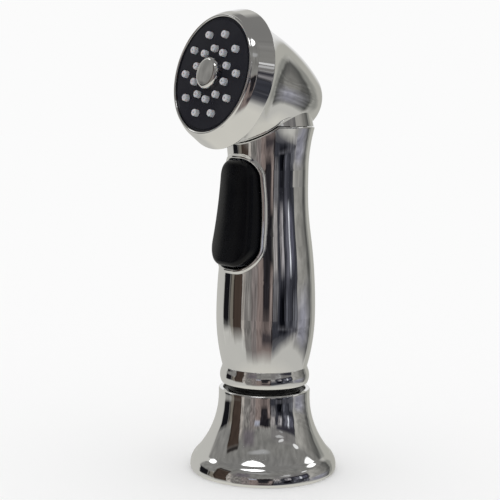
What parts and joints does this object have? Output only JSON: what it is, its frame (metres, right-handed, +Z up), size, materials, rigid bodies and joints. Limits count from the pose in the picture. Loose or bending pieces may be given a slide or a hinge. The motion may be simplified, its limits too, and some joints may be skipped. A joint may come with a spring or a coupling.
{
  "type": "hand spray with deck holder",
  "caption": "Chrome kitchen hand spray with a trigger valve and a round nozzle face, standing in its bell shaped deck holder.",
  "frame": {"origin": "centre of the holder on the deck, at the mouth of its shank socket", "axes": "+Z up along the handle, -Y the way the spray face looks"},
  "size_m": [0.055, 0.0591, 0.1701],
  "materials": {
    "chrome": "polished",
    "black_plastic": "moulded",
    "gasket_rubber": "moulded",
    "seal_rubber": "moulded",
    "brass": "machined",
    "steel": "drawn",
    "core_plastic": "moulded",
    "trigger_soft": "soft touch",
    "face_black": "moulded",
    "nozzle_grey": "silicone"
  },
  "bodies": {
    "holder": {"deck_flange": "chrome", "deck_gasket": "gasket_rubber", "holder_guide": "black_plastic"},
    "tail": {"swivel_tail": "brass", "swivel_orings": "seal_rubber", "retaining_clip": "steel", "inlet_screen": "steel"},
    "handset": {"base_collar": "chrome", "handle_shell": "chrome", "waterway_body": "core_plastic", "check_seat": "core_plastic", "check_spring": "steel", "packing_nut": "brass", "stem_oring": "seal_rubber", "valve_spring": "steel", "valve_plug": "brass", "trigger_pin": "steel", "head_housing": "chrome", "face_ring": "chrome", "face_plate": "face_black", "nozzle_mat": "nozzle_grey", "distributor": "core_plastic", "distributor_seal": "seal_rubber", "face_screw": "steel", "centre_cap": "chrome", "outlet_elbow": "core_plastic"},
    "trigger": {"trigger_lever": "black_plastic", "trigger_pad": "trigger_soft"},
    "stem": {"valve_stem": "brass", "seat_washer": "seal_rubber"},
    "poppet": {"check_poppet": "core_plastic"}
  },
  "joints": [
    {"name": "handset_lift", "type": "slide", "parent": "holder", "child": "tail", "axis": [0, 0, 1], "range_m": [0, 0.05]},
    {"name": "handset_swivel", "type": "hinge", "parent": "tail", "child": "handset", "pos_m": [0, 0, 0.027], "axis": [0, 0, 1], "continuous": true},
    {"name": "trigger_press", "type": "hinge", "parent": "handset", "child": "trigger", "pos_m": [0, -0.0088, 0.113], "axis": [1, 0, 0], "range_deg": [0, 5], "stiffness_Nm_per_rad": 0.5, "springref_deg": -11.46},
    {"name": "stem_slide", "type": "slide", "parent": "handset", "child": "stem", "axis": [0, 1, 0], "range_m": [0, 0.0021], "deforming": ["valve_spring"]},
    {"name": "poppet_lift", "type": "slide", "parent": "handset", "child": "poppet", "axis": [0, 0, 1], "range_m": [0, 0.0015], "stiffness_N_per_m": 60, "springref_m": -0.002, "deforming": ["check_spring"]}
  ],
  "couplings": [
    {"joint": "stem_slide", "follows": "trigger_press", "m_per_rad": 0.023}
  ]
}
